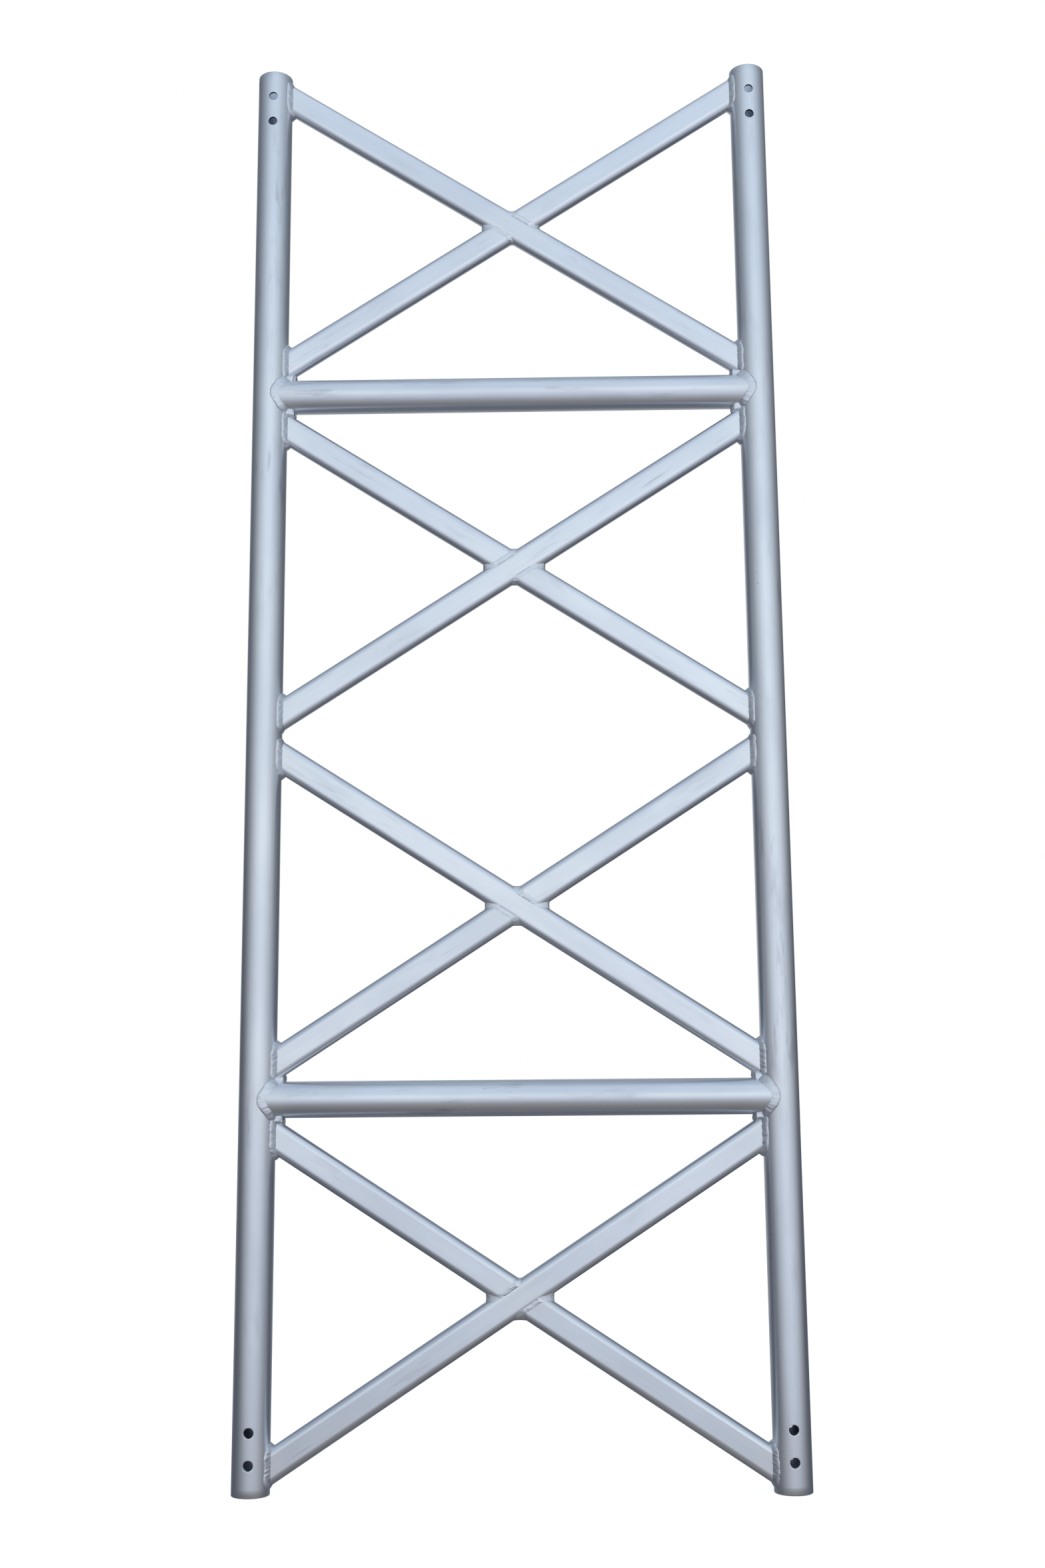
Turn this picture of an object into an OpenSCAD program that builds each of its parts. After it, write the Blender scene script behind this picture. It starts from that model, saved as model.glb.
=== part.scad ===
// Lighting truss section: a flat welded ladder frame of aluminium tube.
// Two round chords stand up, two round cross tubes join them, and four X braces of
// flat oval tube fill the frame. Each X is one through tube and two halves butted to it.
// X runs across the chords, Y is the depth (front is -Y) and Z runs along the chords.
// The origin is the middle of the footprint, at the chords' lower ends. Millimetres.

/* [Chords] */
// Outside diameter of each chord tube
chord_d = 50; // [48.5:0.5:52]
// Wall thickness of each chord tube
chord_wall = 4; // [3:0.5:5]
// Length of the section from end to end
section_length = 2000; // [1990:5:2100]
// Distance between the axes of the two chords
chord_spacing = 700; // [690:5:720]

/* [Bolt holes] */
// Diameter of the bolt holes, drilled front to back through both walls
bolt_hole_d = 13; // [10:0.5:14]
// Distance from a chord's end to its first bolt hole
first_hole_in = 40; // [30:1:50]
// Distance between the two bolt holes of one chord end
hole_pitch = 40; // [30:1:50]

/* [Cross tubes] */
// Outside diameter of each cross tube
cross_d = 48.3; // [45:0.1:48.4]
// Wall thickness of each cross tube
cross_wall = 3; // [2:0.5:4]
// Distance from the middle of the section to each cross tube's axis
cross_out = 498; // [497:0.5:499]

/* [Braces] */
// Width of the brace tube, in the plane of the frame
brace_w = 40; // [38:0.5:40]
// Depth of the brace tube, front to back
brace_t = 20; // [19.5:0.5:25]
// Outside radius of the brace tube's rounded sides
brace_r = 9.5; // [6:0.5:9.5]
// Wall thickness of the brace tube
brace_wall = 2.5; // [2:0.5:3]
// Rise of a brace for each millimetre that it runs across
brace_slope = 0.645; // [0.64:0.005:0.65]
// Distance from the middle of the section to the centres of the two inner crossings
inner_crossing = 240; // [239:0.5:241]
// Distance from the middle of the section to the centres of the two outer crossings
outer_crossing = 756; // [755:0.5:757]

/* [Welds] */
// Leg of the fillet welds
weld_leg = 5; // [4:0.5:6]
// Reach of a brace's end weld around the front and back of the chord
weld_reach = 6.5; // [5:0.5:7]
// Height of a weld's cap above the flat faces of the braces
weld_cap = 1; // [0.5:0.25:1.5]

/* [Hidden] */
$fn = 96;
middle = section_length / 2;
chord_r = chord_d / 2;
cross_r = cross_d / 2;
chord_x = chord_spacing / 2;
brace_angle = atan(brace_slope);
brace_half_length = chord_x / cos(brace_angle);
// Heights of the four crossings, from the top panel down
crossing_z = [for (out = [outer_crossing, inner_crossing, -inner_crossing, -outer_crossing]) middle + out];
// The side that each through brace rises towards: -1 is left and 1 is right
through_side = [-1, 1, -1, 1];
cross_tube_z = [middle + cross_out, middle - cross_out];
// How far the cross tubes' welds stand in front of the chord, and how near its axis they come
cross_weld_proud = 1;
cross_weld_toe = 2.5;
// Half width of the braces' flat faces
flat_edge = brace_w / 2 - brace_r;
// How far the thin tips of a half brace's coped end are trimmed, and the weld's lap over them
tip_trim = 4;
weld_overlap = 1;
// Part of the chord's radius at which a brace's end weld ends inside the chord
toe_sink = 0.97;
far = 2 * section_length;
left = -1;
right = 1;
up = 1;
down = -1;
aluminium = [0.75, 0.79, 0.84];
aluminium_dull = [0.68, 0.72, 0.78];
weld_metal = [0.84, 0.87, 0.90];

// ---- Shapes that several pieces share ----

// Rectangle with round corners, built from squares and true circles
module rounded_rectangle(w, t, r) {
    square([w - 2 * r, t], center = true);
    square([w, t - 2 * r], center = true);
    for (x = [-1, 1], y = [-1, 1])
        translate([x * (w / 2 - r), y * (t / 2 - r)])
            circle(r);
}

// Solid cylinder on a chord's axis
module on_chord(side, r) {
    translate([side * chord_x, 0, -far / 4])
        cylinder(h = far, r = r);
}

// Solid cylinder on a cross tube's axis, from chord axis to chord axis
module on_cross_tube(z, r) {
    translate([-chord_x, 0, z])
        rotate([0, 90, 0])
            cylinder(h = chord_spacing, r = r);
}

// Turns local +Z to the direction of a brace that rises towards side
module along_brace(p, side) {
    translate([0, 0, crossing_z[p - 1]])
        rotate([0, side * (90 - brace_angle), 0])
            children();
}

// Solid bar from a crossing out to the chord on one side, with margins on the brace's section.
// rise is the side that the brace rises towards, and side is the chord that the bar runs to.
module half_bar(p, rise, side, w, t, r) {
    along_brace(p, rise)
        translate([0, 0, rise == side ? 0 : -brace_half_length])
            linear_extrude(height = brace_half_length)
                rounded_rectangle(w, t, r);
}

module outer_half_bar(p, rise, side) {
    half_bar(p, rise, side, brace_w, brace_t, brace_r);
}

module inner_half_bar(p, rise, side) {
    half_bar(p, rise, side, brace_w - 2 * brace_wall, brace_t - 2 * brace_wall, brace_r - brace_wall);
}

// Solid bar from chord axis to chord axis
module full_bar(p, rise, w, t, r) {
    along_brace(p, rise)
        linear_extrude(height = 2 * brace_half_length, center = true)
            rounded_rectangle(w, t, r);
}

module outer_full_bar(p, rise) {
    full_bar(p, rise, brace_w, brace_t, brace_r);
}

// Slab between two distances from a brace's axis, in the plane of the frame
module slab_beside(p, rise, near, away) {
    along_brace(p, rise)
        translate([near, -brace_t, -brace_half_length])
            cube([away - near, 2 * brace_t, 2 * brace_half_length]);
}

// ---- Tubes ----

module chord(side) {
    color(aluminium)
    difference() {
        translate([side * chord_x, 0, 0])
            cylinder(h = section_length, r = chord_r);
        on_chord(side, chord_r - chord_wall);
        for (end = [0, 1], k = [0, 1])
            translate([side * chord_x, 0, abs(end * section_length - first_hole_in - k * hole_pitch)])
                rotate([90, 0, 0])
                    cylinder(h = 2 * chord_d, d = bolt_hole_d, center = true);
    }
}

module cross_tube(z) {
    color(aluminium_dull)
    difference() {
        on_cross_tube(z, cross_r);
        on_cross_tube(z, cross_r - cross_wall);
        for (side = [left, right])
            on_chord(side, chord_r);
    }
}

module brace_through(p) {
    rise = through_side[p - 1];
    color(aluminium)
    difference() {
        outer_full_bar(p, rise);
        full_bar(p, rise, brace_w - 2 * brace_wall, brace_t - 2 * brace_wall, brace_r - brace_wall);
        for (side = [left, right])
            on_chord(side, chord_r);
    }
}

// A half brace without its bore: one end is coped onto the chord, and the other is coped onto
// the through brace's round side, with its thin tips trimmed back
module half_blank(p, side) {
    rise = through_side[p - 1];
    difference() {
        outer_half_bar(p, -rise, side);
        on_chord(side, chord_r);
        outer_full_bar(p, rise);
        slab_beside(p, rise, -flat_edge - tip_trim, flat_edge + tip_trim);
    }
}

module brace_half(p, side) {
    color(aluminium)
    difference() {
        half_blank(p, side);
        inner_half_bar(p, -through_side[p - 1], side);
    }
}

// ---- Welds ----

// Fillet around the coped end of a cross tube
module cross_weld(level, side) {
    z = cross_tube_z[level];
    toe_x = side * (chord_x - cross_weld_toe);
    depth = chord_d + 2 * cross_weld_proud;
    color(weld_metal)
    difference() {
        intersection() {
            on_cross_tube(z, cross_r + weld_leg);
            on_chord(side, chord_r + weld_leg);
            translate([toe_x - side * chord_d / 2, 0, z])
                cube([chord_d, depth, 2 * chord_d], center = true);
        }
        on_cross_tube(z, cross_r);
        on_chord(side, chord_r);
        for (p = level == 0 ? [1, 2] : [3, 4], rise = [left, right])
            outer_full_bar(p, rise);
    }
}

// Outline of a brace's end weld in the horizontal plane. Its bevels run from the crown on the
// brace's faces to the toe, which is sunk a little way below the chord's surface.
module end_weld_outline() {
    toe_y = brace_t / 2 + weld_reach;
    toe = sqrt(chord_r * chord_r - toe_y * toe_y);
    crown = sqrt(chord_r * chord_r - brace_t * brace_t / 4) + weld_leg;
    polygon([
        [0, -toe_sink * toe_y], [toe_sink * toe, -toe_sink * toe_y], [crown, -brace_t / 2],
        [chord_r + weld_leg, -brace_t / 4], [chord_r + weld_leg, brace_t / 4],
        [crown, brace_t / 2], [toe_sink * toe, toe_sink * toe_y], [0, toe_sink * toe_y]
    ]);
}

// Fillet around the coped end of a brace; side is its chord and way is up or down the chord
module brace_end_weld(p, way, side) {
    rise = way * side;
    by_cross_tube = (way == down) == (p % 2 == 1);
    color(weld_metal)
    difference() {
        intersection() {
            half_bar(p, rise, side, brace_w + 2 * weld_leg, 2 * chord_d, brace_r + weld_leg);
            translate([side * chord_x, 0, 0])
                mirror([side == right ? 1 : 0, 0, 0])
                    linear_extrude(height = section_length)
                        end_weld_outline();
        }
        on_chord(side, chord_r);
        outer_half_bar(p, rise, side);
        if (by_cross_tube)
            on_cross_tube(cross_tube_z[p < 3 ? 0 : 1], cross_r + weld_leg);
    }
}

// Bar around the half brace's end, from just over the through brace's flat face out to a
// distance from the through brace's axis
module joint_zone(p, side, away, w, t, r) {
    rise = through_side[p - 1];
    near = flat_edge - weld_overlap;
    intersection() {
        half_bar(p, -rise, side, w, t, r);
        slab_beside(p, rise, side == right ? near : -away, side == right ? away : -near);
    }
}

// Weld around a half brace's end: a low ring over the trimmed tips, and a fillet at each side
module centre_weld(p, side) {
    ring_end = flat_edge + tip_trim + 3 * weld_overlap;
    ring_w = brace_w + weld_leg;
    color(weld_metal)
    difference() {
        union() {
            joint_zone(p, side, ring_end, ring_w, brace_t + 2 * weld_cap, brace_r - 1.5);
            joint_zone(p, side, brace_w / 2 + weld_leg, brace_w + 2 * weld_leg, brace_t - 2, brace_r - 1);
        }
        outer_full_bar(p, through_side[p - 1]);
        inner_half_bar(p, -through_side[p - 1], side);
        half_blank(p, side);
    }
}

// ---- Assembly ----

chord(left);  // left_chord
chord(right);  // right_chord
cross_tube(cross_tube_z[0]);  // upper_cross_tube
cross_tube(cross_tube_z[1]);  // lower_cross_tube
cross_weld(0, left);  // upper_cross_left_weld
cross_weld(0, right);  // upper_cross_right_weld
cross_weld(1, left);  // lower_cross_left_weld
cross_weld(1, right);  // lower_cross_right_weld
for (p = [1:4]) {
    brace_through(p);
    brace_half(p, left);
    brace_half(p, right);
    brace_end_weld(p, up, left);
    brace_end_weld(p, up, right);
    brace_end_weld(p, down, left);
    brace_end_weld(p, down, right);
    centre_weld(p, left);
    centre_weld(p, right);
}
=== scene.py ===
"""Looks of the lighting truss section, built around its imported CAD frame.

Lengths here are millimetres in the CAD frame, and turn to metres when a mesh is made.
X runs across the chords, Y is the depth (front is -Y) and Z runs along the chords.
"""

import math

import bpy
import bmesh
import numpy as np
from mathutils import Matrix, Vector, kdtree, noise


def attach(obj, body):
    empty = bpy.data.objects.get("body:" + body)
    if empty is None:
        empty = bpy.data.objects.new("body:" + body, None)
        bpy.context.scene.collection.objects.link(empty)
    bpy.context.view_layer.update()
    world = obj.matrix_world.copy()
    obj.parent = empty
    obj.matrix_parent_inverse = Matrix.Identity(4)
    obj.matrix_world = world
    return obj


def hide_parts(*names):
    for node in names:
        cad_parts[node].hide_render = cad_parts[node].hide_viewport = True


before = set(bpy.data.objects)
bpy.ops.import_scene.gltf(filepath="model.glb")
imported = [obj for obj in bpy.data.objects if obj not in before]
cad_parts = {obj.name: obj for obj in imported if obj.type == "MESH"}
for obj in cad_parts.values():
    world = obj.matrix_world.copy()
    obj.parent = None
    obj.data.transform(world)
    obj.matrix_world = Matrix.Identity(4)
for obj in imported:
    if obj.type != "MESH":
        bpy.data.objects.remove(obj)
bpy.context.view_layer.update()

# ---- Sizes, the same as the CAD's ----

LENGTH = 2000.0
CHORD_X = 350.0
CHORD_R = 25.0
CHORD_WALL = 4.0
HOLE_R = 6.5
HOLE_Z = (40.0, 80.0, LENGTH - 80.0, LENGTH - 40.0)
CROSS_R = 24.15
CROSS_WALL = 3.0
CROSS_Z = (1498.0, 502.0)
BRACE_W, BRACE_T, BRACE_R, BRACE_WALL = 40.0, 20.0, 9.5, 2.5
SLOPE = 0.645
CROSSING_Z = (1756.0, 1240.0, 760.0, 244.0)
THROUGH_SIDE = (-1, 1, -1, 1)
ANGLE = math.atan(SLOPE)

# The most that a bead stands out to the front or the back
DEPTH_LIMIT = 25.9
X_AXIS = np.array([1.0, 0.0, 0.0])
Y_AXIS = np.array([0.0, 1.0, 0.0])
Z_AXIS = np.array([0.0, 0.0, 1.0])
SIDES = ((-1, "left"), (1, "right"))

# Blender's vector noise starts from the clock unless it has a seed other than 0
noise.seed_set(7)

# ---- Mesh helpers ----


def unit(v):
    return v / np.linalg.norm(v, axis=-1, keepdims=True)


def lerp(a, b, t):
    return a + (b - a) * t


def smooth(t):
    t = np.clip(t, 0.0, 1.0)
    return t * t * (3.0 - 2.0 * t)


def wobble(t, period, seed, octaves=3):
    """Smooth noise of about -1 to 1 along t, which is an array."""
    rng = np.random.default_rng(seed)
    out, total = np.zeros_like(t), 0.0
    for k in range(octaves):
        size = 0.55**k
        for _ in range(2):
            wave = period / 2.0**k * rng.uniform(0.75, 1.3)
            out += size * np.sin(2 * np.pi * t / wave + rng.uniform(0, 6.28))
        total += 1.4 * size
    return out / total


def ring_faces(rows, columns, close_rows=True):
    """Quads of a grid whose columns close on themselves, and whose rows may."""
    faces = []
    for i in range(rows if close_rows else rows - 1):
        a, b = i * columns, ((i + 1) % rows) * columns
        for j in range(columns):
            k = (j + 1) % columns
            faces.append((a + j, a + k, b + k, b + j))
    return faces


def make_piece(name, verts, faces, node, crease, attributes):
    """A closed mesh that stands for one CAD node. attributes are (name, values), with one value or vector
    per vertex."""
    mesh = bpy.data.meshes.new(name)
    mesh.from_pydata((np.asarray(verts) * 0.001).tolist(), [], faces)
    for key, values in attributes:
        values = np.asarray(values, dtype=np.float32)
        kind, field = ("FLOAT_VECTOR", "vector") if values.ndim == 2 else ("FLOAT", "value")
        mesh.attributes.new(key, kind, "POINT").data.foreach_set(field, values.ravel())
    bm = bmesh.new()
    bm.from_mesh(mesh)
    bmesh.ops.recalc_face_normals(bm, faces=bm.faces)
    bm.to_mesh(mesh)
    bm.free()
    mesh.shade_smooth()
    mesh.set_sharp_from_angle(angle=math.radians(crease))
    piece = bpy.data.objects.new(name, mesh)
    bpy.context.scene.collection.objects.link(piece)
    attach(piece, "root")
    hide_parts(node)
    return piece


def oval(q, w, t, r):
    """Point and outward normal of a flat oval's edge, at distance q along it from the middle of its side."""
    side, arc, flat = t / 2 - r, math.pi * r / 2, w / 2 - r
    quarter = side + arc + flat
    k = np.floor(q / quarter).astype(int)
    p = q - k * quarter
    k = k % 4
    p = np.where(k % 2 == 1, quarter - p, p)
    turn = np.clip((p - side) / r, 0, math.pi / 2)
    b = flat + r * np.cos(turn) - np.maximum(p - side - arc, 0)
    y = np.minimum(p, side) + r * np.sin(turn)
    sb = np.where((k == 1) | (k == 2), -1.0, 1.0)
    sy = np.where(k >= 2, -1.0, 1.0)
    return b * sb, y * sy, np.cos(turn) * sb, np.sin(turn) * sy


def oval_perimeter(w, t, r):
    return 4 * (t / 2 - r + w / 2 - r) + 2 * math.pi * r


def oval_side(y):
    """Distance from a brace's axis to its rounded side at depth y."""
    drop = np.clip(np.abs(y) - (BRACE_T / 2 - BRACE_R), 0, BRACE_R)
    return BRACE_W / 2 - BRACE_R + np.sqrt(BRACE_R**2 - drop**2)


class Host:
    """A tube that another one is welded to, unrolled: q runs round its section from the side that faces
    the branch, and a runs along it. A tube without a radius is a brace."""

    def __init__(self, origin, along, outward, radius=None):
        self.origin, self.along, self.outward = map(np.asarray, (origin, along, outward))
        self.radius = radius

    def at(self, q, a):
        """Point and outward normal of the surface."""
        if self.radius:
            r = self.radius
            b, y, nb, ny = r * np.cos(q / r), r * np.sin(q / r), np.cos(q / r), np.sin(q / r)
        else:
            b, y, nb, ny = oval(q, BRACE_W, BRACE_T, BRACE_R)
        point = self.origin + a[:, None] * self.along + b[:, None] * self.outward + y[:, None] * Y_AXIS
        return point, nb[:, None] * self.outward + ny[:, None] * Y_AXIS

    def q_of(self, y):
        """Distance round the section to depth y, on the side that faces the branch."""
        if self.radius:
            return self.radius * np.arcsin(np.clip(y / self.radius, -1, 1))
        side = BRACE_T / 2 - BRACE_R
        turn = np.arcsin(np.clip((np.abs(y) - side) / BRACE_R, 0, 1))
        return np.sign(y) * (np.minimum(np.abs(y), side) + BRACE_R * turn)

    def reach(self, y):
        """Distance of the surface from the host's axis, towards the branch, at depth y."""
        if self.radius:
            return np.sqrt(np.maximum(self.radius**2 - y**2, 0))
        return oval_side(y)


def chord_host(side):
    return Host((side * CHORD_X, 0, 0), (0, 0, 1), (-side, 0, 0), CHORD_R)


def crossing(p):
    return np.array([0.0, 0.0, CROSSING_Z[p - 1]])


def brace_axes(rise):
    """Direction of a brace that rises towards rise, and the direction across it."""
    along = np.array([rise * math.cos(ANGLE), 0.0, math.sin(ANGLE)])
    across = np.array([-math.sin(ANGLE) * rise, 0.0, math.cos(ANGLE)])
    return along, across


def half_brace(p, side):
    """The through brace of crossing p as a host, and the directions along and across its half brace on one
    side."""
    rise = THROUGH_SIDE[p - 1]
    along, across = brace_axes(-rise)
    out = along * (1 if -rise == side else -1)
    host_along, host_across = brace_axes(rise)
    return Host(crossing(p), host_along, host_across * np.sign(host_across @ out)), out, across


def to_host(host, centre, u, v, b, y, surface):
    """Distance along u from the branch's section point to the host's surface, where surface is how far the
    surface lies from the host's axis."""
    start = centre + b[:, None] * v + y[:, None] * Y_AXIS
    now = (start - host.origin) @ host.outward
    return (surface - now) / (u @ host.outward)


# ---- Chords ----

# Points round a chord, the longest step along it, and the grid cells that each hole's patch replaces
COLUMNS = 144
ROW_STEP = 8.0
PATCH = 18
CELL = 2 * math.pi * CHORD_R / COLUMNS
HALF_PATCH = PATCH / 2 * CELL
# Distance from an end face to the straight part of the wall
RIM = 1.0
# (distance from the end, distance into the metal) of points on the rounded outer rim and the broken inner one
OUTER_RIM = ((0.9, 0.07), (0.6, 0.25), (0.25, 0.6), (0.07, 0.9), (0.0, 1.3))
INNER_RIM = ((0.35, 0.1), (0.12, 0.35), (0.0, 0.7))
# How much tighter the holes in the back wall are, where the drill comes out, and how far off the middle
BACK_TIGHTER = 0.8
BACK_OFF = 0.9


def chord_rows():
    """(z, radius) of each row of a chord's grid, up the outside, over the top rim, down the inside and over
    the bottom rim, then the first inside row, and the heights of the outside rows."""
    inner_r = CHORD_R - CHORD_WALL
    marks = []
    z = RIM
    for hole in HOLE_Z:
        steps = max(1, int((hole - HALF_PATCH - z) / ROW_STEP))
        marks += [lerp(z, hole - HALF_PATCH, k / steps) for k in range(steps)]
        marks += [hole - HALF_PATCH + CELL * k for k in range(PATCH)]
        z = hole + HALF_PATCH
    steps = int((LENGTH - RIM - z) / ROW_STEP)
    marks += [lerp(z, LENGTH - RIM, k / steps) for k in range(steps + 1)]
    outer = [(m, CHORD_R) for m in marks]
    top = [(LENGTH - a, CHORD_R - b) for a, b in OUTER_RIM]
    top += [(LENGTH - a, inner_r + b) for a, b in reversed(INNER_RIM)]
    inner = [(m, inner_r) for m in reversed(marks)]
    bottom = [(a, inner_r + b) for a, b in INNER_RIM]
    bottom += [(a, CHORD_R - b) for a, b in reversed(OUTER_RIM)]
    return outer + top + inner + bottom, len(outer + top), marks


def drill(verts, faces, hole, front, side, outer_ids, inner_ids):
    """Fills a patch left open in both walls' grids with a drilled hole. The ids are the vertices round the
    patch, outside and inside, and front is -1 in the front wall and 1 in the back one."""
    r, off_x, off_z = HOLE_R, 0.0, 0.0
    if front > 0:
        r, off_x, off_z = HOLE_R - BACK_TIGHTER, -BACK_OFF * side, BACK_OFF if hole < LENGTH / 2 else 0.0
    inner_r = CHORD_R - CHORD_WALL
    # (wall radius, share of the way from the patch's edge to the hole, hole radius, depth below the wall): in
    # to the hole's broken edge, through the wall, and out again on the inside
    plans = [(CHORD_R, f, r + 0.3, 0.0) for f in (0.25, 0.5, 0.75, 1.0)]
    plans += [(CHORD_R, 1.0, r + 0.1, 0.07), (CHORD_R, 1.0, r, 0.27), (CHORD_R, 1.0, r, 1.2)]
    plans += [(inner_r, 1.0, r, -1.2), (inner_r, 1.0, r, -0.3), (inner_r, 1.0, r + 0.3, 0.0)]
    plans += [(inner_r, f, r + 0.3, 0.0) for f in (0.66, 0.33)]
    layers = [outer_ids]
    for radius, f, hole_r, depth in plans:
        layer = []
        for vid in outer_ids if radius == CHORD_R else inner_ids:
            x, _, z = verts[vid]
            turn = math.atan2(z - hole, x)
            px = lerp(x, off_x + hole_r * math.cos(turn), f)
            pz = lerp(z - hole, off_z + hole_r * math.sin(turn), f)
            layer.append(len(verts))
            verts.append(np.array([px, front * (math.sqrt(radius**2 - px**2) - depth), hole + pz]))
        layers.append(layer)
    layers.append(inner_ids)
    for one, two in zip(layers, layers[1:]):
        for k in range(len(one)):
            m = (k + 1) % len(one)
            faces.append((one[k], one[m], two[m], two[k]))


def chord_mesh(side):
    rows, first_inner, marks = chord_rows()
    top_mark = len(marks) - 1
    theta = np.arange(COLUMNS) * 2 * math.pi / COLUMNS
    verts = [np.array((r * math.sin(t), -r * math.cos(t), z)) for z, r in rows for t in theta]
    skip = set()
    patches = []
    for hole in HOLE_Z:
        low = min(range(len(marks)), key=lambda i: abs(marks[i] - (hole - HALF_PATCH)))
        for column in (0, COLUMNS // 2):
            for first_row in (low, first_inner + top_mark - low - PATCH):
                skip |= {(first_row + i, (column - PATCH // 2 + j) % COLUMNS)
                         for i in range(PATCH) for j in range(PATCH)}
            patches.append((hole, column, low))
    faces = []
    for i in range(len(rows)):
        for j in range(COLUMNS):
            if (i, j) in skip:
                continue
            a, b, k = i * COLUMNS, ((i + 1) % len(rows)) * COLUMNS, (j + 1) % COLUMNS
            faces.append((a + j, a + k, b + k, b + j))
    edge = [(0, j) for j in range(PATCH)] + [(i, PATCH) for i in range(PATCH)]
    edge += [(PATCH, PATCH - j) for j in range(PATCH)] + [(PATCH - i, 0) for i in range(PATCH)]
    for hole, column, low in patches:
        border = [(i, (column - PATCH // 2 + j) % COLUMNS) for i, j in edge]
        outer_ids = [(low + i) * COLUMNS + j for i, j in border]
        inner_ids = [(first_inner + top_mark - low - i) * COLUMNS + j for i, j in border]
        drill(verts, faces, hole, -1.0 if column == 0 else 1.0, side, outer_ids, inner_ids)
    used = sorted({v for f in faces for v in f})
    index = {v: k for k, v in enumerate(used)}
    faces = [tuple(index[v] for v in f) for f in faces]
    verts = np.array([verts[v] for v in used])
    verts[:, 0] += side * CHORD_X
    return verts, faces


# ---- Straight tubes with shaped ends ----


# Distances from a tube's end of the rings near it, and the number of steps between those of its two ends
END_RINGS = (0, 1, 2, 3.5, 5, 7, 9, 12, 15, 19, 24, 30)
MIDDLE_STEPS = 12


def tube_mesh(outer_section, inner_section, centre, u, v, ends):
    """A hollow tube along u, with v across it. Sections are (b, y) arrays of one length, and ends are two
    functions of (b, y) that give where the tube starts and stops along u."""
    rows, local = [], []
    for b, y in (outer_section, inner_section):
        start, stop = ends[0](b, y), ends[1](b, y)
        steps = [start + d for d in END_RINGS]
        first, last = start + END_RINGS[-1], stop - END_RINGS[-1]
        steps += [lerp(first, last, k / MIDDLE_STEPS) for k in range(1, MIDDLE_STEPS)]
        steps += [stop - d for d in reversed(END_RINGS)]
        if rows:
            steps.reverse()
        for s in steps:
            rows.append(centre + s[:, None] * u + b[:, None] * v + y[:, None] * Y_AXIS)
            local.append(np.stack([b, y, s], axis=1))
    count = len(outer_section[0])
    return np.concatenate(rows), ring_faces(len(rows), count), np.concatenate(local)


# ---- Weld beads ----

# Rows across the visible side of a bead
BEAD_ROWS = 11


def bead_mesh(host, seam_q, seam_a, branch_out, branch_normal, leg_host, leg_branch, crown, seed,
              pitch, ripple, edge=0.15, skew=0.0):
    """A closed bead along a closed seam, the painted shade in the creases at its toes, and the seam itself.
    leg_host, leg_branch, crown and ripple are in mm, and edge is how dark the painted shade at the toe on the
    host is. Each may vary along the seam, as may skew, which at 1 lets the bead run out softly into the
    branch.
    pitch is the length of a ripple."""
    seam, host_normal = host.at(seam_q, seam_a)
    n = len(seam_q)
    step = np.linalg.norm(np.roll(seam, -1, 0) - seam, axis=1)
    run = np.concatenate([[0], np.cumsum(step)[:-1]])
    length = run[-1] + step[-1]
    # Outward direction on the unrolled host, smoothed so that the toe turns corners in a curve
    flat = np.stack([seam_q, seam_a], axis=1)
    tangent = unit(np.roll(flat, -1, 0) - np.roll(flat, 1, 0))
    out = np.stack([tangent[:, 1], -tangent[:, 0]], axis=1)
    centre = flat.mean(0)
    if ((flat - centre) * out).sum() < 0:
        out = -out
    window = max(3, int(n * 3.0 / length))
    kernel = np.hanning(2 * window + 1)
    kernel /= kernel.sum()
    padded = np.concatenate([out[-window:], out, out[:window]])
    out = unit(np.stack([np.convolve(padded[:, k], kernel, "valid") for k in range(2)], axis=1))
    turns = 2 * np.pi * run / length
    ragged_host = 0.6 * wobble(np.sin(turns) * length / 6.28 + 2 * np.cos(turns), 9.0, seed, 2) * np.ones(n)
    ragged_branch = 0.4 * wobble(np.cos(turns) * length / 6.28 + 2 * np.sin(turns), 8.0, seed + 50, 2)
    toe_flat = flat + out * (leg_host + ragged_host)[:, None]
    toe, toe_normal = host.at(toe_flat[:, 0], toe_flat[:, 1])
    far_toe = seam + branch_out * (leg_branch + ragged_branch)[:, None]
    normal = unit(host_normal + branch_normal)
    ripples = max(8, round(length / pitch))
    phase = turns * ripples / (2 * np.pi)
    phase = phase + 0.35 * wobble(np.sin(turns) * 40, 30.0, seed + 9, 2)
    lump = 1.0 + 0.35 * wobble(np.cos(turns) * length / 6.28, 16.0, seed + 20)
    # Rows from the toe on the host, over the crown, to the toe on the branch, closed under both surfaces
    across = np.linspace(0, 1, BEAD_ROWS)
    rows = [toe - 0.5 * toe_normal]
    marks = [np.zeros(n)]
    for w in across:
        arch = lerp((4 * w * (1 - w)) ** 0.7, 3.5 * (1 - w) ** 1.5 * w**0.6, skew)
        wave = np.mod(phase + 0.55 * (2 * w - 1) ** 2, 1.0)
        scallop = ripple * (4 * w * (1 - w)) ** 0.5 * (np.abs(2 * wave - 1) ** 1.5 - 0.35)
        height = arch * crown * lump + scallop
        rows.append(lerp(toe, far_toe, w) + normal * height[:, None])
        # Painted shade in the creases at the toes: edge at the toe on the host, and 0.12 at the toe on the
        # branch
        marks.append(edge * np.ones(n) * max(0.0, 1 - w / 0.15) + 0.12 * max(0.0, 1 - (1 - w) / 0.15))
    rows.append(far_toe - 0.5 * branch_normal)
    marks.append(np.zeros(n))
    rows.append(seam - 1.2 * normal)
    marks.append(np.zeros(n))
    grid = np.stack(rows)
    grid[:, :, 1] = np.clip(grid[:, :, 1], -DEPTH_LIMIT, DEPTH_LIMIT)
    return grid.reshape(-1, 3), ring_faces(len(rows), n), np.concatenate(marks), seam


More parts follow.
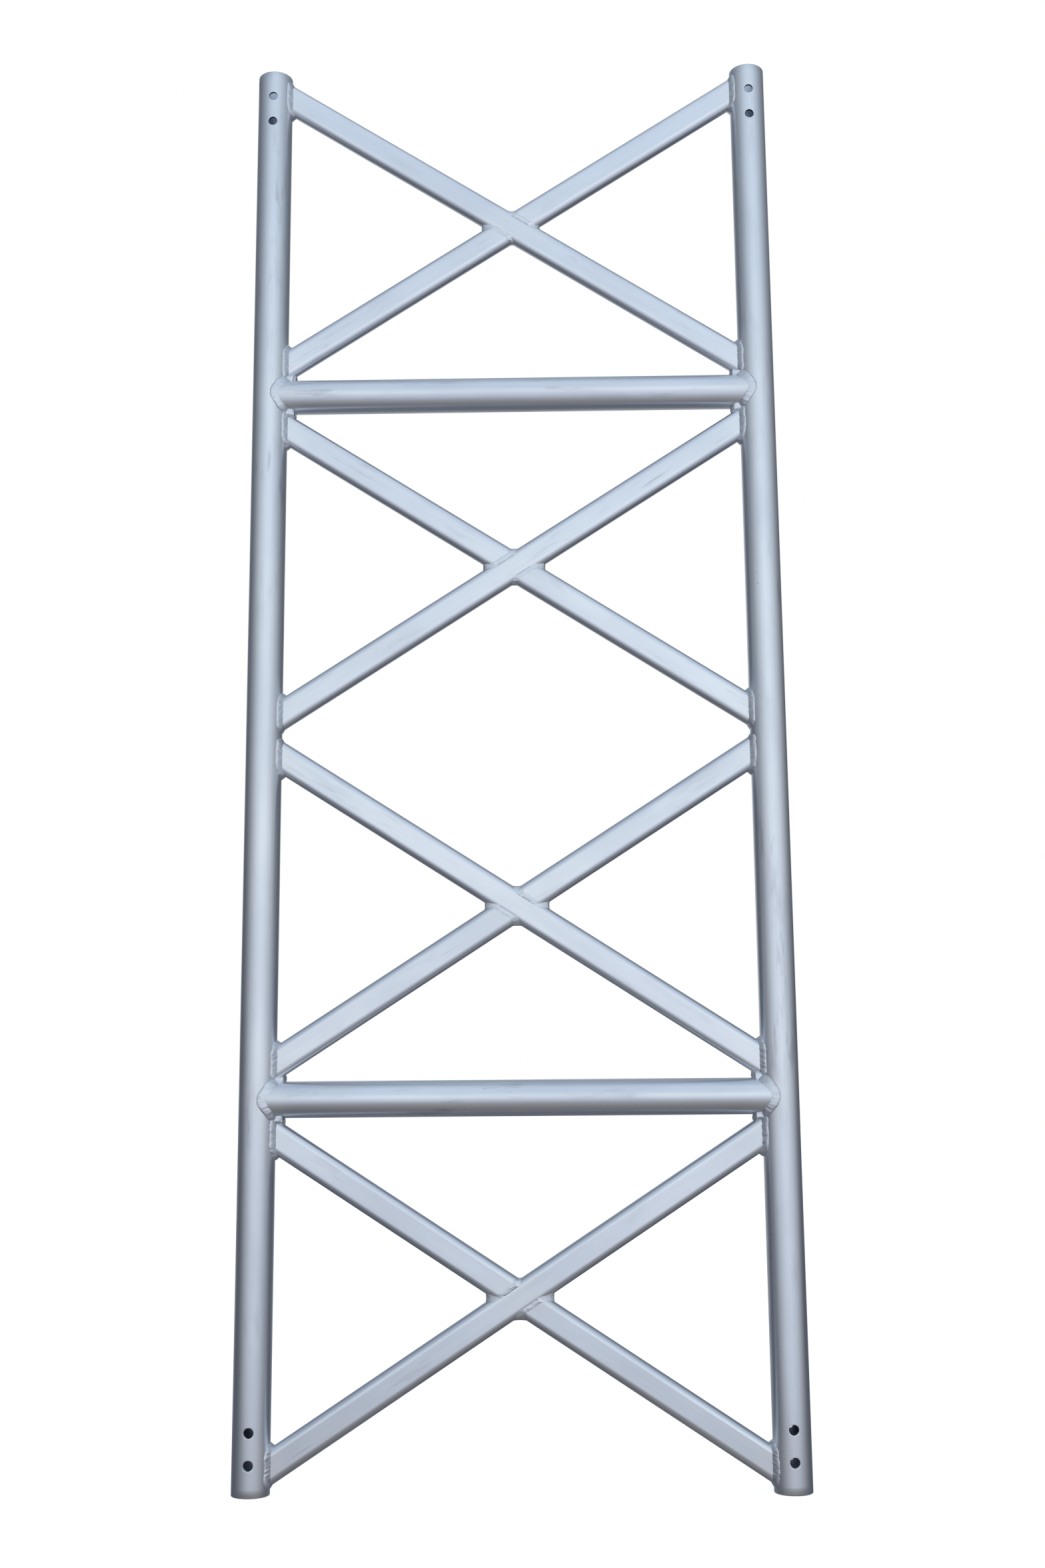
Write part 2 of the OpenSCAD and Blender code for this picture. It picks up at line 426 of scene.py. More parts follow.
# Half the depth of the lump of weld in a gap, the most that its bumps may reach, how far it stands from the
# chord's axis, how deep it sinks into the tubes, and its rings and the points up and across each
LUMP_DEPTH = 11.6
LUMP_LIMIT = 12.4
LUMP_REACH = 37.0
LUMP_SINK = 1.0
LUMP_RINGS = 41
LUMP_UP = 9
LUMP_ACROSS = 6


def gap_lump(side, p, way, seed):
    """Weld metal that fills the narrow gap between a cross tube and the brace beside it. x is measured here
    from the chord's axis towards the middle of the frame."""
    level = CROSS_Z[0 if p < 3 else 1]
    sign = 1.0 if way < 0 else -1.0
    turns = np.linspace(-1, 1, LUMP_RINGS) * np.pi / 2
    rows = []
    for turn, uneven in zip(turns, wobble(np.sin(turns) * 11.0, 7.0, seed)):
        y = LUMP_DEPTH * math.sin(turn)
        # 0 in the middle of the lump's depth and 1 at its front and back, where it draws in
        inset = 1.0 - math.cos(turn) ** 0.55
        x_out = LUMP_REACH + 0.8 * uneven - 9.0 * inset
        x_in = math.sqrt(CHORD_R**2 - y**2) - LUMP_SINK
        tube_top = level + sign * (math.sqrt(CROSS_R**2 - y**2) - LUMP_SINK)
        half = float(oval_side(np.array([min(abs(y), BRACE_T / 2)]))[0]) / math.cos(ANGLE)

        def brace_edge(x):
            axis = CROSSING_Z[p - 1] + way * SLOPE * (CHORD_X - x)
            highest = tube_top + sign * (10.5 - 4.0 * inset)
            edge = axis - sign * (half - LUMP_SINK)
            return min(edge, highest) if sign > 0 else max(edge, highest)

        ring = []
        for k in range(LUMP_UP):
            t = k / (LUMP_UP - 1)
            x = x_out + (0.7 + 0.3 * uneven) * math.sin(math.pi * t)
            ring.append((x, y, lerp(tube_top, brace_edge(x_out), t)))
        for k in range(1, LUMP_ACROSS):
            x = lerp(x_out, x_in, k / LUMP_ACROSS)
            ring.append((x, y, brace_edge(x)))
        ring.append((x_in, y, brace_edge(x_in)))
        ring.append((x_in, y, tube_top))
        ring += [(lerp(x_in, x_out, k / LUMP_ACROSS), y, tube_top) for k in range(1, LUMP_ACROSS)]
        rows.append(ring)
    grid = np.array(rows)
    grid[:, :, 0] = side * (CHORD_X - grid[:, :, 0])
    for point in grid.reshape(-1, 3):
        point += 0.8 * np.array(noise.noise_vector(Vector(point / 4.0)))
    grid[:, :, 1] = np.clip(grid[:, :, 1], -LUMP_LIMIT, LUMP_LIMIT)
    return capped(grid)


def capped(grid):
    """Vertices and faces of a tube of rings with a flat face at each end."""
    stations, count = grid.shape[:2]
    faces = ring_faces(stations, count, close_rows=False)
    faces.append(tuple(range(count - 1, -1, -1)))
    faces.append(tuple(range((stations - 1) * count, stations * count)))
    return grid.reshape(-1, 3), faces


# Half the depth of the weld metal in a notch, its rings and the points across each
NOTCH_DEPTH = 9.8
NOTCH_RINGS = 35
NOTCH_POINTS = 17


def notch_fillet(p, place, length, seed):
    """Weld metal in one notch of crossing p, with a straight outer edge of the given length in mm."""
    c, s = math.cos(ANGLE), math.sin(ANGLE)
    # d points out of the notch, first and second along its two edges, and apex is the distance of its corner
    # from the crossing for each mm of a brace's half width
    d = np.array({"left": (-1.0, 0.0), "right": (1.0, 0.0), "top": (0.0, 1.0), "bottom": (0.0, -1.0)}[place])
    if d[0]:
        first, second, apex = np.array([d[0] * c, s]), np.array([d[0] * c, -s]), 1 / s
    else:
        first, second, apex = np.array([-c, d[1] * s]), np.array([c, d[1] * s]), 1 / c
    leg = length / 2 * apex
    turns = np.linspace(-1, 1, NOTCH_RINGS) * np.pi / 2
    across = np.linspace(0, 1, NOTCH_POINTS)
    depths = NOTCH_DEPTH * np.sin(turns)
    uneven = wobble(depths, 6.0, seed)
    rows = []
    for turn, y, bump in zip(turns, depths, uneven):
        corner = d * float(oval_side(np.array([abs(y)]))[0]) * apex
        now = leg * math.cos(turn) ** 0.9
        ends = corner + first * now, corner + second * now
        ripples = 0.22 * np.abs(np.sin(across * max(2, round(length / 2.2)) * np.pi + 0.5 * bump)) - 0.1
        swell = (0.35 * bump - 0.05 * length) * 4 * across * (1 - across) + ripples * min(1.0, now / 3.0)
        curve = [lerp(ends[0], ends[1], w) + d * h for w, h in zip(across, swell)]
        ring = [corner - d * 2.0, ends[0] - second * 1.2, *curve, ends[1] - first * 1.2]
        rows.append([(x, y, z + CROSSING_Z[p - 1]) for x, z in ring])
    return capped(np.array(rows))


def joined(parts):
    """Several (verts, faces, marks) as one."""
    verts, faces, marks, first = [], [], [], 0
    for v, f, m in parts:
        verts.append(v)
        marks.append(m)
        faces += [tuple(i + first for i in face) for face in f]
        first += len(v)
    return np.concatenate(verts), faces, np.concatenate(marks)


# The seams, which the tubes' materials follow, and the pieces of each material
SEAMS = []
PIECES = {"chord_tube": [], "cross_tube": [], "brace_tube": [], "weld_bead": []}
# Points along the seam of a brace and of a cross tube
BRACE_SEAM = 260
CROSS_SEAM = 380


def add_bead(name, node, parts):
    verts, faces, marks = joined(parts)
    # The toe attribute holds the painted shade in the creases at the bead's toes
    piece = make_piece(name, verts, faces, node, 60.0, [("toe", marks)])
    PIECES["weld_bead"].append(piece)


def brace_seam(host, p, u, v):
    """Where a brace along u meets its host: points, the brace's outward normals, the normals' share across
    the brace (towards v) and through it, and the depths."""
    q = np.arange(BRACE_SEAM) / BRACE_SEAM * oval_perimeter(BRACE_W, BRACE_T, BRACE_R)
    b, y, nb, ny = oval(q, BRACE_W, BRACE_T, BRACE_R)
    s = to_host(host, crossing(p), u, v, b, y, host.reach(y))
    point = crossing(p) + s[:, None] * u + b[:, None] * v + y[:, None] * Y_AXIS
    return point, nb[:, None] * v + ny[:, None] * Y_AXIS, nb, ny, y


def brace_end_bead(p, way, side):
    """The bead where a brace of crossing p meets the chord on one side, above (way 1) or below (way -1) the
    crossing."""
    v = brace_axes(way * side)[1]
    # From the chord back to the crossing
    u = np.array([-side * math.cos(ANGLE), 0.0, -way * math.sin(ANGLE)])
    host = chord_host(side)
    point, branch_normal, nb, ny, y = brace_seam(host, p, u, v)
    # 1 at the acute corner, which gets the longer legs, and -1 at the obtuse one
    corner = -way * nb
    front = smooth(ny**2)
    leg_host = lerp(5.2 + 2.0 * corner, 7.2, front)
    leg_branch = lerp(5.6 + 1.0 * corner, 5.0, front)
    seed = 100 * p + 10 * (way + 1) + side + 3
    verts, faces, marks, seam = bead_mesh(
        host, host.q_of(y), point[:, 2], np.tile(u, (BRACE_SEAM, 1)), branch_normal, leg_host, leg_branch,
        lerp(0.3, 1.0, front), seed, pitch=4.2, ripple=0.09, skew=0.8)
    SEAMS.append(seam)
    parts = [(verts, faces, marks)]
    # The ends that lie close to a cross tube
    if (way < 0) == (p % 2 == 1):
        lump, lump_faces = gap_lump(side, p, way, seed + 3)
        parts.append((lump, lump_faces, np.zeros(len(lump))))
    end = ("upper" if way > 0 else "lower") + ("_left" if side < 0 else "_right")
    add_bead(f"bead_{p}_{end}", f"brace_{p}_{end}_weld", parts)


def cross_end_bead(level, z, side, word):
    host = chord_host(side)
    turn = np.arange(CROSS_SEAM) / CROSS_SEAM * 2 * np.pi
    b, y = CROSS_R * np.cos(turn), CROSS_R * np.sin(turn)
    u = np.array([-float(side), 0.0, 0.0])
    branch_normal = np.cos(turn)[:, None] * Z_AXIS + np.sin(turn)[:, None] * Y_AXIS
    # The upper flank is smooth and runs out into the tube, and the lower one shows its ripples
    tip = smooth((np.abs(np.sin(turn)) - 0.55) / 0.45)
    under = smooth(0.5 - 0.9 * np.cos(turn))
    leg_host = lerp(4.6, 3.4, tip) + 3.0 * np.abs(np.sin(2 * turn)) ** 0.8
    leg_branch = lerp(lerp(8.0, 5.0, under), lerp(8.5, 7.0, under), tip)
    crown = lerp(0.35, 0.6, tip) + 0.6 * under * np.sin(2 * turn) ** 2
    seed = 900 + (10 if level == "upper" else 20) + side
    # edge sets the painted shade at the toe on the chord, strongest at the tip
    verts, faces, marks, seam = bead_mesh(
        host, host.q_of(y), z + b, np.tile(u, (CROSS_SEAM, 1)), branch_normal, leg_host, leg_branch, crown,
        seed, pitch=2.6, ripple=0.03 + 0.15 * under, edge=0.2 + 0.45 * tip, skew=1.0 - under)
    SEAMS.append(seam)
    add_bead(f"bead_{level}_cross_{word}", f"{level}_cross_{word}_weld", [(verts, faces, marks)])


# The straight outer edge of the weld metal in each notch of each crossing, in mm
NOTCHES = [
    {"left": 9.5, "right": 5.0, "top": 10.0, "bottom": 2.5},
    {"left": 9.5, "right": 9.0, "top": 11.0, "bottom": 8.0},
    {"left": 9.5, "right": 10.0, "top": 11.5, "bottom": 12.0},
    {"left": 10.5, "right": 11.0, "top": 5.0, "bottom": 17.0},
]
# How high the ripples stand on the flat faces of each crossing, in mm
FACE_RIPPLE = (0.10, 0.14, 0.08, 0.22)


def centre_bead(p, side, word):
    """The bead round a half brace's inner end, with the metal in the two notches beside it."""
    host, u, v = half_brace(p, side)
    point, branch_normal, nb, ny, y = brace_seam(host, p, u, v)
    flat_face = smooth((ny**2 - 0.35) / 0.6)
    ripple = FACE_RIPPLE[p - 1]
    seed = 500 + 10 * p + side
    # edge sets the painted shade at the toes, which grows with the ripples
    verts, faces, marks, seam = bead_mesh(
        host, host.q_of(y), (point - crossing(p)) @ host.along, np.tile(u, (BRACE_SEAM, 1)), branch_normal,
        lerp(2.0, -2.6, flat_face), lerp(2.5, 10.4, flat_face), 0.3 + ripple * flat_face, seed,
        pitch=2.9, ripple=ripple, edge=ripple + 0.08)
    SEAMS.append(seam)
    parts = [(verts, faces, marks)]
    for place in (word, "top" if THROUGH_SIDE[p - 1] == -side else "bottom"):
        fillet, fillet_faces = notch_fillet(p, place, NOTCHES[p - 1][place], seed + 5)
        parts.append((fillet, fillet_faces, np.zeros(len(fillet))))
    add_bead(f"bead_{p}_{word}_centre", f"brace_{p}_{word}_centre_weld", parts)


for p in range(1, 5):
    for way in (1, -1):
        for side in (-1, 1):
            brace_end_bead(p, way, side)
for level, z in zip(("upper", "lower"), CROSS_Z):
    for side, word in SIDES:
        cross_end_bead(level, z, side, word)
for p in range(1, 5):
    for side, word in SIDES:
        centre_bead(p, side, word)

# ---- Tubes ----

weld_tree = kdtree.KDTree(sum(len(s) for s in SEAMS))
for k, p3 in enumerate(np.concatenate(SEAMS)):
    weld_tree.insert(p3, k)
weld_tree.balance()


def weld_distance(verts):
    """Distance in mm from each vertex to the nearest weld seam."""
    return np.array([weld_tree.find(v)[2] for v in verts])


def add_tube(name, node, slot, verts, faces, local, seed):
    """local holds the vertices in the tube's own axes, with its length last, and seed moves its marks."""
    rng = np.random.default_rng(seed)
    grain = local * 0.001 + rng.uniform(-5, 5, 3)
    # inside marks painted shade: 1 on the chords' inner walls, which are coloured darker as if the bore lay
    # in shadow
    inside = np.zeros(len(verts))
    if slot == "chord_tube":
        inside = smooth((CHORD_R - 2.0 - np.hypot(local[:, 0], local[:, 1])) / 1.5)
    piece = make_piece(name, verts, faces, node, 38.0,
                       [("grain", grain), ("weld_near", weld_distance(verts) * 0.001), ("inside", inside)])
    PIECES[slot].append(piece)


# How far a tube's end sinks into the chord, how near the through brace's axis a half brace comes, and how
# far its end sinks in there
CHORD_SINK = 0.6
CENTRE_END = 14.5
CENTRE_SINK = 0.4
# Points round a cross tube and round a brace
CROSS_POINTS = 120
BRACE_POINTS = 112


def cross_end(side):
    return lambda b, y: side * (CHORD_X - np.sqrt(CHORD_R**2 - y**2) + CHORD_SINK)


def chord_end(p, side, u, v):
    host = chord_host(side)
    return lambda b, y: to_host(host, crossing(p), u, v, b, y, host.reach(y) - CHORD_SINK)


def centre_end(p, host, u, v):
    def start(b, y):
        return to_host(host, crossing(p), u, v, b, y, np.maximum(host.reach(y), CENTRE_END) - CENTRE_SINK)

    return start


for side, word in SIDES:
    verts, faces = chord_mesh(side)
    local = verts - side * CHORD_X * X_AXIS
    add_tube(f"{word}_chord_tube", f"{word}_chord", "chord_tube", verts, faces, local, 11 + side)

turn = np.arange(CROSS_POINTS) / CROSS_POINTS * 2 * np.pi
cross_sections = [(r * np.cos(turn), r * np.sin(turn)) for r in (CROSS_R, CROSS_R - CROSS_WALL)]
ends = (cross_end(-1), cross_end(1))
for level, z in zip(("upper", "lower"), CROSS_Z):
    verts, faces, local = tube_mesh(*cross_sections, z * Z_AXIS, X_AXIS, Z_AXIS, ends)
    add_tube(f"{level}_cross", f"{level}_cross_tube", "cross_tube", verts, faces, local, 21 + int(z))

outer_size = (BRACE_W, BRACE_T, BRACE_R)
inner_size = (BRACE_W - 2 * BRACE_WALL, BRACE_T - 2 * BRACE_WALL, BRACE_R - BRACE_WALL)
share = np.arange(BRACE_POINTS) / BRACE_POINTS
brace_sections = [oval(share * oval_perimeter(*size), *size)[:2] for size in (outer_size, inner_size)]
for p in range(1, 5):
    rise = THROUGH_SIDE[p - 1]
    u, v = brace_axes(rise)
    ends = (chord_end(p, -rise, u, v), chord_end(p, rise, u, v))
    verts, faces, local = tube_mesh(*brace_sections, crossing(p), u, v, ends)
    add_tube(f"brace_{p}_through_tube", f"brace_{p}_through", "brace_tube", verts, faces, local, 40 + p)
    for side, word in SIDES:
        host, u, v = half_brace(p, side)
        ends = (centre_end(p, host, u, v), chord_end(p, side, u, v))
        verts, faces, local = tube_mesh(*brace_sections, crossing(p), u, v, ends)
        add_tube(f"brace_{p}_{word}_half_tube", f"brace_{p}_{word}_half", "brace_tube", verts, faces, local,
                 60 + 10 * p + side)

# ---- Materials ----


class Nodes:
    """Short calls for building the node tree of a material or a world."""

    def __init__(self, owner):
        owner.use_nodes = True
        self.owner = owner
        self.tree = owner.node_tree
        self.tree.nodes.clear()

    def set(self, socket, value):
        if isinstance(value, bpy.types.NodeSocket):
            self.tree.links.new(value, socket)
        else:
            socket.default_value = value

    def add(self, kind, **values):
        """A node. Values whose names start with in_ go to its sockets, and the rest are its settings."""
        node = self.tree.nodes.new(kind)
        for key, value in values.items():
            if key.startswith("in_"):
                self.set(node.inputs[key[3:].replace("_", " ")], value)
            else:
                setattr(node, key, value)
        return node

    def attribute(self, name):
        return self.add("ShaderNodeAttribute", attribute_name=name)

    def stretch(self, vector, scale):
        return self.add("ShaderNodeMapping", vector_type="POINT", in_Vector=vector, in_Scale=scale).outputs[0]

    def noise(self, vector, scale, detail=2.0, rough=0.5):
        return self.add("ShaderNodeTexNoise", in_Vector=vector, in_Scale=scale, in_Detail=detail,
                        in_Roughness=rough).outputs["Fac"]

    def ramp(self, value, low, high, out_low=0.0, out_high=1.0, kind="SMOOTHSTEP"):
        node = self.add("ShaderNodeMapRange", interpolation_type=kind, in_Value=value)
        names = ("From Min", "From Max", "To Min", "To Max")
        for key, number in zip(names, (low, high, out_low, out_high)):
            self.set(node.inputs[key], number)
        return node.outputs[0]

    def colors(self, value, stops):
        """Colours along a value. stops are (value, (r, g, b)), in order."""
        low, high = stops[0][0], stops[-1][0]
        node = self.add("ShaderNodeValToRGB", in_Fac=self.ramp(value, low, high, kind="LINEAR"))
        elements = node.color_ramp.elements
        while len(elements) < len(stops):
            elements.new(0.5)
        for element, (at, color) in zip(elements, stops):
            element.position = (at - low) / (high - low)
            element.color = (*color, 1.0)
        return node.outputs[0]

    def math(self, operation, *values):
        node = self.add("ShaderNodeMath", operation=operation)
        for socket, value in zip(node.inputs, values):
            self.set(socket, value)
        return node.outputs[0]

    def vector(self, operation, *values):
        node = self.add("ShaderNodeVectorMath", operation=operation)
        for socket, value in zip(node.inputs, values):
            self.set(socket, value)
        return node.outputs["Value" if operation == "DOT_PRODUCT" else "Vector"]

    def mix(self, factor, a, b):
        node = self.add("ShaderNodeMix", data_type="RGBA")
        self.set(node.inputs["Factor"], factor)
        self.set(node.inputs["A"], a)
        self.set(node.inputs["B"], b)
        return node.outputs["Result"]

    def surface(self, shader, kind="ShaderNodeOutputMaterial"):
        self.set(self.add(kind).inputs["Surface"], shader)
        return self.owner

    def metal(self, color, roughness, height, bump, distance):
        shader = self.add("ShaderNodeBsdfPrincipled", in_Metallic=1.0)
        self.set(shader.inputs["Base Color"], color)
        self.set(shader.inputs["Roughness"], roughness)
        bumped = self.add("ShaderNodeBump", in_Strength=bump, in_Distance=distance, in_Height=height)
        self.set(shader.inputs["Normal"], bumped.outputs[0])
        return self.surface(shader.outputs[0])


def tube_material(name, base, dull, rough, wear):
    """Drawn aluminium tube: fine lines along it, soft cloudy patches, smudges and rub marks, a few scratches
    and pits, a paler band beside each weld, and painted shade on the chords' inner walls. wear sets how
    strong the smudges and rub marks are."""
    m = Nodes(bpy.data.materials.new(name))
    grain = m.attribute("grain").outputs["Vector"]
    near = m.attribute("weld_near").outputs["Fac"]
    lines = m.noise(m.stretch(grain, (1.0, 1.0, 0.01)), 900.0, 3.0, 0.6)
    bands = m.noise(m.stretch(grain, (1.0, 1.0, 0.03)), 110.0, 2.0, 0.5)
    clouds = m.noise(m.stretch(grain, (1.0, 1.0, 0.35)), 14.0, 3.0, 0.55)
    smudge = m.noise(m.stretch(grain, (1.0, 1.0, 0.2)), 42.0, 4.0, 0.65)
    scratch = m.noise(m.stretch(grain, (1.0, 1.0, 0.035)), 260.0, 2.0, 0.6)
    scratch_patch = m.noise(grain, 9.0, 1.0)
    cells = m.add("ShaderNodeTexVoronoi", in_Vector=grain, in_Scale=60.0, in_Randomness=1.0)
    pit_patch = m.ramp(m.noise(grain, 21.0, 1.0), 0.62, 0.66)
    pits = m.math("MULTIPLY", m.ramp(cells.outputs["Distance"], 0.03, 0.06, 1.0, 0.0), pit_patch)
    color = m.mix(m.ramp(clouds, 0.35, 0.7), base, dull)
    color = m.mix(m.ramp(bands, 0.3, 0.75, 0.0, 0.15), color, (0.93, 0.95, 0.98, 1.0))
    color = m.mix(m.ramp(lines, 0.35, 0.7, 0.0, 0.07), color, (0.40, 0.44, 0.50, 1.0))
    color = m.mix(m.ramp(smudge, 0.55, 0.75, 0.0, 0.24 * wear), color, (0.42, 0.43, 0.48, 1.0))
    rub_lines = m.noise(m.stretch(grain, (1.0, 1.0, 0.12)), 120.0, 3.0, 0.6)
    rub_patch = m.noise(m.stretch(grain, (1.0, 1.0, 0.5)), 13.0, 1.0)
    rub = m.math("MULTIPLY", m.ramp(rub_lines, 0.52, 0.66), m.ramp(rub_patch, 0.60, 0.68))
    color = m.mix(m.math("MULTIPLY", rub, 0.45 * wear), color, (0.44, 0.45, 0.50, 1.0))
    scratches = m.math("MULTIPLY", m.ramp(scratch, 0.70, 0.76), m.ramp(scratch_patch, 0.52, 0.6))
    color = m.mix(m.math("MULTIPLY", scratches, 0.45), color, (0.22, 0.24, 0.28, 1.0))
    color = m.mix(m.math("MULTIPLY", pits, 0.7), color, (0.10, 0.11, 0.13, 1.0))
    # Painted shade: the chords' inner walls are coloured darker and bluer, as if the bore lay in shadow
    color = m.mix(m.attribute("inside").outputs["Fac"], color, (0.46, 0.52, 0.62, 1.0))
    # The brushed band beside the welds, which fades out
    band = m.math("ADD", near, m.math("MULTIPLY", m.math("SUBTRACT", smudge, 0.5), 0.012))
    pale = m.ramp(band, 0.010, 0.034, 0.35, 0.0)
    color = m.mix(pale, color, (0.86, 0.89, 0.92, 1.0))
    rough_value = m.ramp(clouds, 0.3, 0.75, rough - 0.03, rough + 0.06)
    rough_value = m.math("ADD", rough_value, m.ramp(smudge, 0.5, 0.8, 0.0, 0.08))
    rough_value = m.math("ADD", rough_value, m.math("MULTIPLY", pale, 0.16))
    rough_value = m.math("SUBTRACT", rough_value, m.math("MULTIPLY", scratches, 0.08))
    height = m.math("ADD", m.math("MULTIPLY", lines, 0.25), m.math("MULTIPLY", bands, 0.5))
    height = m.math("SUBTRACT", height, m.math("MULTIPLY", scratches, 0.6))
    height = m.math("SUBTRACT", height, m.math("MULTIPLY", pits, 2.0))
    waves = m.noise(m.stretch(grain, (1.0, 1.0, 0.4)), 30.0, 1.0)
    height = m.math("ADD", height, m.math("MULTIPLY", waves, 1.5))
    return m.metal(color, rough_value, height, bump=0.25, distance=0.00006)


def weld_material():
    """Weld metal: mottled, with painted shade in the creases at the toes, and small pinholes in patches."""
    m = Nodes(bpy.data.materials.new("weld_metal"))
    place = m.add("ShaderNodeTexCoord").outputs["Object"]
    toe = m.attribute("toe").outputs["Fac"]
    fine = m.noise(place, 1400.0, 3.0, 0.6)
    mottle = m.noise(place, 160.0, 3.0, 0.6)
    wide = m.noise(place, 38.0, 2.0)
    color = m.mix(m.ramp(mottle, 0.3, 0.7), (0.70, 0.75, 0.82, 1.0), (0.80, 0.84, 0.90, 1.0))
    color = m.mix(m.ramp(wide, 0.5, 0.75, 0.0, 0.35), color, (0.66, 0.68, 0.72, 1.0))
    # Painted shade in the creases at the toes
    color = m.mix(toe, color, (0.20, 0.21, 0.25, 1.0))
    cells = m.add("ShaderNodeTexVoronoi", in_Vector=place, in_Scale=180.0, in_Randomness=1.0)
    holes = m.ramp(cells.outputs["Distance"], 0.07, 0.14, 1.0, 0.0)
    holes = m.math("MULTIPLY", holes, m.ramp(wide, 0.5, 0.56))
    color = m.mix(m.math("MULTIPLY", holes, 0.6), color, (0.10, 0.10, 0.12, 1.0))
    rough_value = m.ramp(mottle, 0.3, 0.75, 0.30, 0.50)
    height = m.math("ADD", m.math("MULTIPLY", fine, 0.3), mottle)
    height = m.math("SUBTRACT", height, m.math("MULTIPLY", holes, 2.0))
    return m.metal(color, rough_value, height, bump=0.5, distance=0.0002)


ROUND_CLEAN = (0.76, 0.81, 0.88, 1.0)
BRACE_CLEAN = (0.77, 0.82, 0.89, 1.0)
MATERIALS = {
    "chord_tube": tube_material("chord_aluminium", ROUND_CLEAN, (0.71, 0.76, 0.84, 1.0), 0.30, 1.0),
    "cross_tube": tube_material("cross_aluminium", ROUND_CLEAN, (0.71, 0.76, 0.83, 1.0), 0.29, 1.0),
    "brace_tube": tube_material("brace_aluminium", BRACE_CLEAN, (0.72, 0.77, 0.85, 1.0), 0.28, 0.5),
    "weld_bead": weld_material(),
}
for slot, pieces in PIECES.items():
    for piece in pieces:
        piece.data.materials.append(MATERIALS[slot])

# ---- Floor, light and camera ----

# In metres from here on
scene = bpy.context.scene
# The way the soft light comes from, a little to the right of straight ahead
LIGHT_TURN = math.radians(10)
FRONT = (math.sin(LIGHT_TURN), -math.cos(LIGHT_TURN), 0.0)
WHITE = (1.0, 1.0, 1.0, 1.0)


def disc(name, radius, z):
    mesh = bpy.data.meshes.new(name)
    bm = bmesh.new()
    bmesh.ops.create_circle(bm, cap_ends=True, segments=64, radius=radius)
    bm.to_mesh(mesh)
    bm.free()
    piece = bpy.data.objects.new(name, mesh)
    piece.location.z = z
    scene.collection.objects.link(piece)
    return piece


def floor_material():
    """Pale grey paint with a glow, so that the floor comes out white with a trace of shadow."""
    m = Nodes(bpy.data.materials.new("pale_floor"))
    paint = m.add("ShaderNodeBsdfDiffuse", in_Color=(0.9, 0.9, 0.9, 1.0))
    glow = m.add("ShaderNodeEmission", in_Color=WHITE, in_Strength=0.72)
    both = m.add("ShaderNodeAddShader")
    m.set(both.inputs[0], paint.outputs[0])
    m.set(both.inputs[1], glow.outputs[0])
    return m.surface(both.outputs[0])


# (metres in front of the object, grey)
GROUND_GREYS = (
    (-3.0, 0.09), (-0.7, 0.13), (0.0, 0.19), (0.5, 0.23), (0.9, 0.29), (1.75, 0.40), (3.0, 0.63), (4.0, 0.68),
    (7.0, 0.75), (10.0, 0.80), (20.0, 0.85))


def ground_material():
    """A glowing grey card that stands for the ground in the metal, with light and shade painted into its
    glow:
    a painted shadow under the object, paler and bluer towards the light, dark at the sides, and grey again
    far behind."""
    m = Nodes(bpy.data.materials.new("ground"))
    place = m.add("ShaderNodeTexCoord").outputs["Object"]
    forward = m.vector("DOT_PRODUCT", place, FRONT)
    stops = []
    for at, grey in GROUND_GREYS:
        far = min(1.0, max(0.0, (at - 0.9) / 1.6))
        stops.append((at, (grey * lerp(1.05, 0.95, far), grey, grey * lerp(0.97, 1.12, far))))
    toward = m.vector("DOT_PRODUCT", m.vector("NORMALIZE", place), FRONT)
    share = m.math("POWER", m.math("MULTIPLY_ADD", toward, 0.5, 0.5), 1.6)
    distant = m.ramp(forward, -5.0, -1.6, 1.0, 0.22)
    behind = m.math("MULTIPLY", m.ramp(toward, -0.99, -0.60, 1.0, 0.0), distant)
    color = m.mix(share, (0.10, 0.11, 0.135, 1.0), m.colors(forward, stops))
    color = m.mix(behind, color, (0.40, 0.41, 0.43, 1.0))
    return m.surface(m.add("ShaderNodeEmission", in_Color=color).outputs[0])


floor = disc("floor", 40.0, -0.0006)
floor.visible_glossy = False
floor.data.materials.append(floor_material())

# Well below the floor, and only to be seen in the metal
card = disc("ground_card", 80.0, -0.47)
card.visible_camera = False
card.visible_shadow = False
card.visible_diffuse = False
card.data.materials.append(ground_material())

